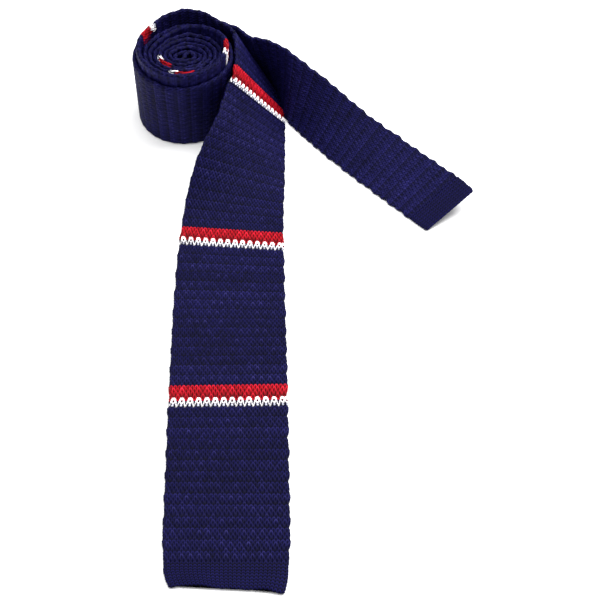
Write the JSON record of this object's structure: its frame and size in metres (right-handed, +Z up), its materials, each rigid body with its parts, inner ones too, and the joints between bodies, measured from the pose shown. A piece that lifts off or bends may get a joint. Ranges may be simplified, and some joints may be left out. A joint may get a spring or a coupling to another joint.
{
  "type": "knit tie",
  "caption": "Square-ended navy knit necktie with red and white cross stripes, rolled up double from its middle, blade and tail lying out of the roll.",
  "frame": {"origin": "bottom centre of the bounding box, on the surface the tie rests on", "axes": "+Z up; the blade lies along -Y with its end foremost, the roll stands at the back and the tail runs out towards +X"},
  "size_m": [0.1914, 0.3716, 0.052],
  "materials": {
    "navy_knit": "coarse tuck knit, soft sheen",
    "red_knit": "coarse tuck knit, soft sheen",
    "white_knit": "coarse tuck knit, soft sheen"
  },
  "bodies": {
    "root": {"blade_hem": "navy_knit", "navy_panel_1": "navy_knit", "white_stripe_1": "white_knit", "red_stripe_1": "red_knit", "navy_panel_2": "navy_knit", "white_stripe_2": "white_knit", "red_stripe_2": "red_knit", "navy_panel_3": "navy_knit", "white_stripe_3": "white_knit", "red_stripe_3": "red_knit", "navy_panel_4": "navy_knit", "white_stripe_4": "white_knit", "red_stripe_4": "red_knit", "navy_panel_5": "navy_knit", "white_stripe_5": "white_knit", "red_stripe_5": "red_knit", "navy_panel_6": "navy_knit", "white_stripe_6": "white_knit", "red_stripe_6": "red_knit", "navy_panel_7": "navy_knit", "white_stripe_7": "white_knit", "red_stripe_7": "red_knit", "neck_panel": "navy_knit", "tail_panel": "navy_knit", "tail_hem": "navy_knit"}
  },
  "joints": []
}
